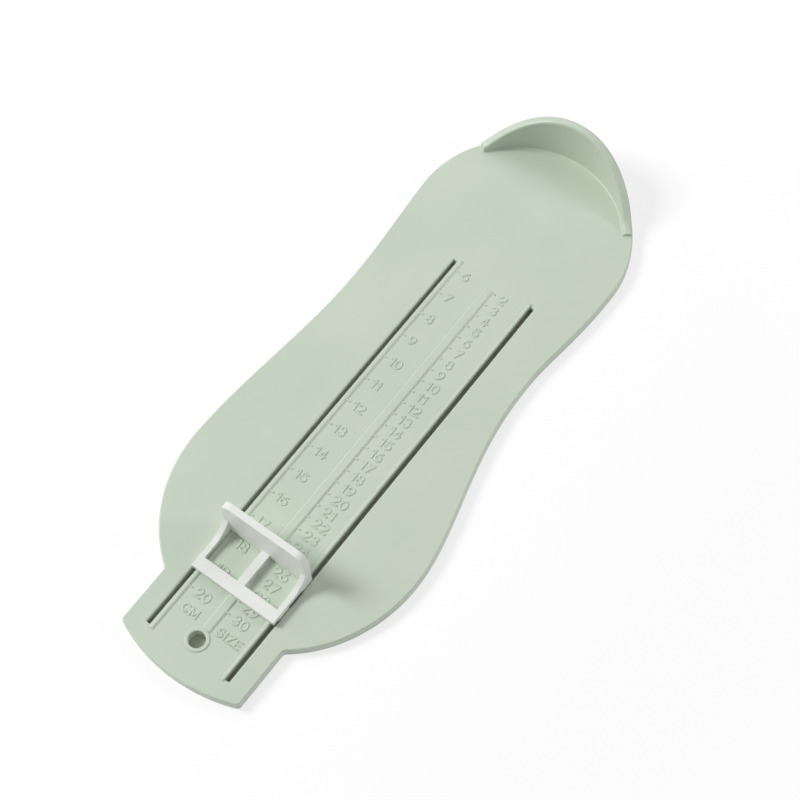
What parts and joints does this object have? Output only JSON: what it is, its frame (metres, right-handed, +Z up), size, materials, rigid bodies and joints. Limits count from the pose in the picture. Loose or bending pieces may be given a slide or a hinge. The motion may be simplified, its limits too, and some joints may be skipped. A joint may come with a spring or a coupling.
{
  "type": "foot measuring device",
  "caption": "Sole-shaped foot measuring board with a raised heel cup, a ruled centre scale, a hanging hole and a toe stop that slides in two slots.",
  "frame": {"origin": "middle of the board's outline, on the table it rests on", "axes": "+Y along the board to the heel, +X to the right where the scale reads upright from the toe end, +Z up from the table"},
  "size_m": [0.089, 0.2284, 0.0226],
  "materials": {
    "board_plastic": "satin injection-moulded plastic, pale grey-green",
    "slider_plastic": "satin injection-moulded plastic, off-white"
  },
  "bodies": {
    "board": {"measuring_board": "board_plastic"},
    "slider": {"toe_slider": "slider_plastic"}
  },
  "joints": [
    {"name": "slider_travel", "type": "slide", "parent": "board", "child": "slider", "axis": [0, 1, 0], "range_m": [-0.0244, 0.1187]}
  ]
}
